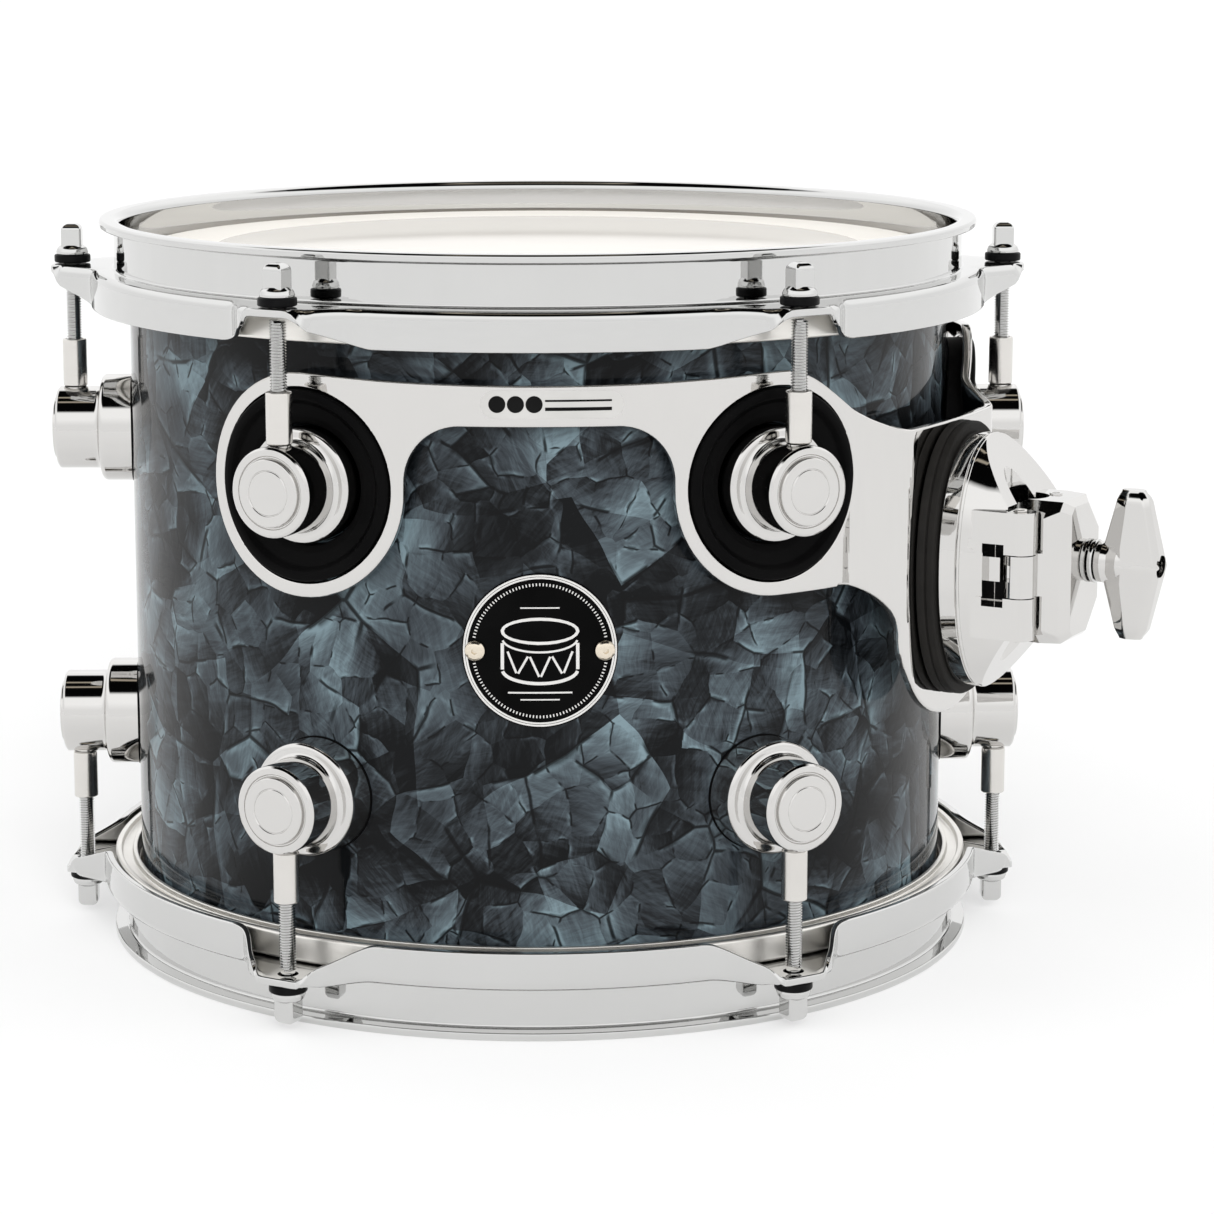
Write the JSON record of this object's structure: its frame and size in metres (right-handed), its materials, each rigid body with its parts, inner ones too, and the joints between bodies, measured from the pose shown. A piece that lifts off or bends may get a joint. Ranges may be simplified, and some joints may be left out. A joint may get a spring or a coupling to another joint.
{
  "type": "tom tom drum",
  "caption": "Small rack tom: wrapped wooden shell, two heads under flanged hoops held by tension rods and round lugs, with a rubber-isolated suspension bracket and hinged clamp.",
  "frame": {"origin": "centre of the batter head's playing surface, on the drum's axis", "axes": "+Z along the drum's axis, out of the batter head; -Y is the front, where the badge is; the clamp is 30 degrees from +X towards -Y"},
  "size_m": [0.3312, 0.274, 0.2222],
  "materials": {
    "maple": "natural",
    "pearl_wrap": "glossy marbled pearl",
    "head_film": "clear film, with a white coated ring round the edge of the batter head",
    "flesh_hoop": "satin",
    "chrome": "mirror",
    "satin_nickel": "satin",
    "rubber": "matte",
    "badge_black": "gloss"
  },
  "bodies": {
    "drum": {"shell": "maple", "finish_wrap": "pearl_wrap", "badge": "badge_black", "badge_screw_1": "satin_nickel", "badge_screw_2": "satin_nickel", "batter_head_film": "head_film", "upper_lug_1": "chrome", "upper_swivel_nut_1": "satin_nickel", "upper_lug_2": "chrome", "upper_swivel_nut_2": "satin_nickel", "upper_lug_3": "chrome", "upper_swivel_nut_3": "satin_nickel", "upper_lug_4": "chrome", "upper_swivel_nut_4": "satin_nickel", "upper_lug_5": "chrome", "upper_swivel_nut_5": "satin_nickel", "upper_lug_6": "chrome", "upper_swivel_nut_6": "satin_nickel", "resonant_head_film": "head_film", "lower_lug_1": "chrome", "lower_swivel_nut_1": "satin_nickel", "lower_lug_2": "chrome", "lower_swivel_nut_2": "satin_nickel", "lower_lug_3": "chrome", "lower_swivel_nut_3": "satin_nickel", "lower_lug_4": "chrome", "lower_swivel_nut_4": "satin_nickel", "lower_lug_5": "chrome", "lower_swivel_nut_5": "satin_nickel", "lower_lug_6": "chrome", "lower_swivel_nut_6": "satin_nickel", "suspension_bracket": "chrome", "clamp_gasket": "rubber", "clamp_base": "chrome", "hinge_pin": "satin_nickel", "clamp_stud": "satin_nickel", "bracket_grommet_1": "rubber", "bracket_grommet_2": "rubber", "bracket_grommet_3": "rubber", "bracket_grommet_4": "rubber"},
    "batter_hoop_set": {"batter_hoop": "chrome", "batter_flesh_hoop": "flesh_hoop"},
    "batter_rod_1": {"upper_tension_rod_1": "chrome"},
    "batter_rod_2": {"upper_tension_rod_2": "chrome"},
    "batter_rod_3": {"upper_tension_rod_3": "chrome"},
    "batter_rod_4": {"upper_tension_rod_4": "chrome"},
    "batter_rod_5": {"upper_tension_rod_5": "chrome"},
    "batter_rod_6": {"upper_tension_rod_6": "chrome"},
    "resonant_hoop_set": {"resonant_hoop": "chrome", "resonant_flesh_hoop": "flesh_hoop"},
    "resonant_rod_1": {"lower_tension_rod_1": "chrome"},
    "resonant_rod_2": {"lower_tension_rod_2": "chrome"},
    "resonant_rod_3": {"lower_tension_rod_3": "chrome"},
    "resonant_rod_4": {"lower_tension_rod_4": "chrome"},
    "resonant_rod_5": {"lower_tension_rod_5": "chrome"},
    "resonant_rod_6": {"lower_tension_rod_6": "chrome"},
    "jaw": {"clamp_jaw": "chrome"},
    "wing_washer": {"clamp_washer": "chrome"},
    "wing": {"wing_nut": "chrome"}
  },
  "joints": [
    {"name": "batter_tuning", "type": "slide", "parent": "drum", "child": "batter_hoop_set", "axis": [0, 0, 1], "range_m": [-0.00159, 0.00159]},
    {"name": "batter_rod_turn_1", "type": "hinge", "parent": "batter_hoop_set", "child": "batter_rod_1", "pos_m": [-0.0717, -0.12419, -0.003], "axis": [0, 0, 1], "range_deg": [-721, 721]},
    {"name": "batter_rod_turn_2", "type": "hinge", "parent": "batter_hoop_set", "child": "batter_rod_2", "pos_m": [0.0717, -0.12419, -0.003], "axis": [0, 0, 1], "range_deg": [-721, 721]},
    {"name": "batter_rod_turn_3", "type": "hinge", "parent": "batter_hoop_set", "child": "batter_rod_3", "pos_m": [0.1434, 0, -0.003], "axis": [0, 0, 1], "range_deg": [-721, 721]},
    {"name": "batter_rod_turn_4", "type": "hinge", "parent": "batter_hoop_set", "child": "batter_rod_4", "pos_m": [0.0717, 0.12419, -0.003], "axis": [0, 0, 1], "range_deg": [-721, 721]},
    {"name": "batter_rod_turn_5", "type": "hinge", "parent": "batter_hoop_set", "child": "batter_rod_5", "pos_m": [-0.0717, 0.12419, -0.003], "axis": [0, 0, 1], "range_deg": [-721, 721]},
    {"name": "batter_rod_turn_6", "type": "hinge", "parent": "batter_hoop_set", "child": "batter_rod_6", "pos_m": [-0.1434, 0, -0.003], "axis": [0, 0, 1], "range_deg": [-721, 721]},
    {"name": "resonant_tuning", "type": "slide", "parent": "drum", "child": "resonant_hoop_set", "axis": [0, 0, -1], "range_m": [-0.00159, 0.00159]},
    {"name": "resonant_rod_turn_1", "type": "hinge", "parent": "resonant_hoop_set", "child": "resonant_rod_1", "pos_m": [-0.0717, 0.12419, -0.2002], "axis": [0, 0, -1], "range_deg": [-721, 721]},
    {"name": "resonant_rod_turn_2", "type": "hinge", "parent": "resonant_hoop_set", "child": "resonant_rod_2", "pos_m": [0.0717, 0.12419, -0.2002], "axis": [0, 0, -1], "range_deg": [-721, 721]},
    {"name": "resonant_rod_turn_3", "type": "hinge", "parent": "resonant_hoop_set", "child": "resonant_rod_3", "pos_m": [0.1434, 0, -0.2002], "axis": [0, 0, -1], "range_deg": [-721, 721]},
    {"name": "resonant_rod_turn_4", "type": "hinge", "parent": "resonant_hoop_set", "child": "resonant_rod_4", "pos_m": [0.0717, -0.12419, -0.2002], "axis": [0, 0, -1], "range_deg": [-721, 721]},
    {"name": "resonant_rod_turn_5", "type": "hinge", "parent": "resonant_hoop_set", "child": "resonant_rod_5", "pos_m": [-0.0717, -0.12419, -0.2002], "axis": [0, 0, -1], "range_deg": [-721, 721]},
    {"name": "resonant_rod_turn_6", "type": "hinge", "parent": "resonant_hoop_set", "child": "resonant_rod_6", "pos_m": [-0.1434, 0, -0.2002], "axis": [0, 0, -1], "range_deg": [-721, 721]},
    {"name": "wing_travel", "type": "slide", "parent": "drum", "child": "wing_washer", "axis": [0.866, -0.5, 0], "range_m": [0, 0.006]},
    {"name": "wing_turn", "type": "hinge", "parent": "wing_washer", "child": "wing", "pos_m": [0.16854, -0.08807, -0.0845], "axis": [0.866, -0.5, 0], "range_deg": [0, 1730]},
    {"name": "jaw_swing", "type": "hinge", "parent": "drum", "child": "jaw", "pos_m": [0.13687, -0.10154, -0.0855], "axis": [0, 0, -1], "range_deg": [0, 10.1]}
  ],
  "couplings": [
    {"joint": "batter_rod_turn_1", "follows": "batter_tuning", "rad_per_m": 7915.8},
    {"joint": "batter_rod_turn_2", "follows": "batter_tuning", "rad_per_m": 7915.8},
    {"joint": "batter_rod_turn_3", "follows": "batter_tuning", "rad_per_m": 7915.8},
    {"joint": "batter_rod_turn_4", "follows": "batter_tuning", "rad_per_m": 7915.8},
    {"joint": "batter_rod_turn_5", "follows": "batter_tuning", "rad_per_m": 7915.8},
    {"joint": "batter_rod_turn_6", "follows": "batter_tuning", "rad_per_m": 7915.8},
    {"joint": "resonant_rod_turn_1", "follows": "resonant_tuning", "rad_per_m": 7915.8},
    {"joint": "resonant_rod_turn_2", "follows": "resonant_tuning", "rad_per_m": 7915.8},
    {"joint": "resonant_rod_turn_3", "follows": "resonant_tuning", "rad_per_m": 7915.8},
    {"joint": "resonant_rod_turn_4", "follows": "resonant_tuning", "rad_per_m": 7915.8},
    {"joint": "resonant_rod_turn_5", "follows": "resonant_tuning", "rad_per_m": 7915.8},
    {"joint": "resonant_rod_turn_6", "follows": "resonant_tuning", "rad_per_m": 7915.8},
    {"joint": "wing_turn", "follows": "wing_travel", "rad_per_m": 5026.5},
    {"joint": "jaw_swing", "follows": "wing_travel", "rad_per_m": 29}
  ]
}
